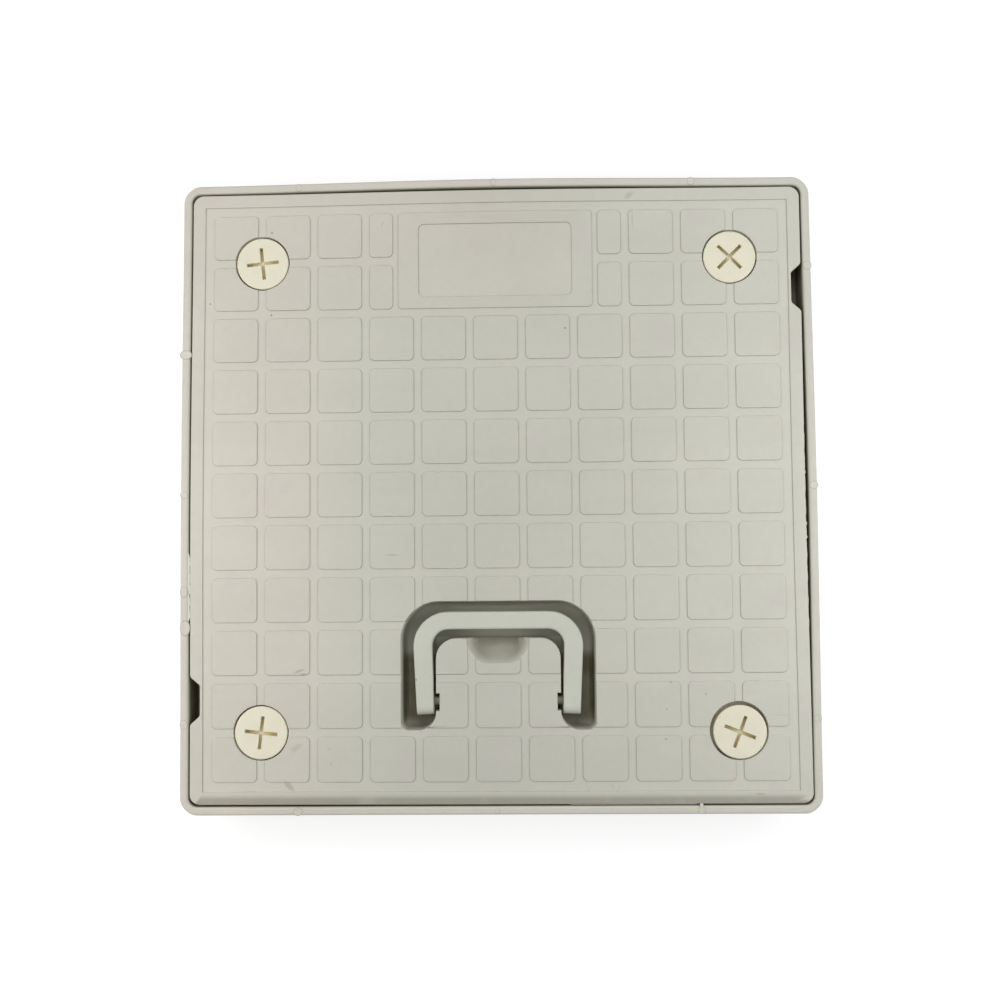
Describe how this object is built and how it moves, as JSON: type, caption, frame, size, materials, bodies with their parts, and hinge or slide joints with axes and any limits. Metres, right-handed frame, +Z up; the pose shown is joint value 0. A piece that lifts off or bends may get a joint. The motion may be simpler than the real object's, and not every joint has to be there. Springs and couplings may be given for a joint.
{
  "type": "inspection cover",
  "caption": "Square moulded plastic inspection cover with frame, padded drop-in lid, corner screws, pry notches and a fold-down bail handle in a well.",
  "frame": {"origin": "centre of the square frame at its base", "axes": "+Z up out of the ground through the lid's top face, +Y towards the back edge with the bare label panel, +X to the right with the handle nearest the viewer"},
  "size_m": [0.4, 0.4, 0.045],
  "materials": {
    "cover_plastic": "pale warm grey injection-moulded plastic with a fine satin surface",
    "screw_plastic": "cream injection-moulded plastic, smooth satin"
  },
  "bodies": {
    "cover": {"frame": "cover_plastic", "lid": "cover_plastic", "screw_back_left": "screw_plastic", "screw_back_right": "screw_plastic", "screw_front_left": "screw_plastic", "screw_front_right": "screw_plastic"},
    "bail": {"handle": "cover_plastic"}
  },
  "joints": [
    {"name": "handle_swing", "type": "hinge", "parent": "cover", "child": "bail", "pos_m": [0, -0.1303, 0.03855], "axis": [1, 0, 0], "range_deg": [0, 132]}
  ]
}
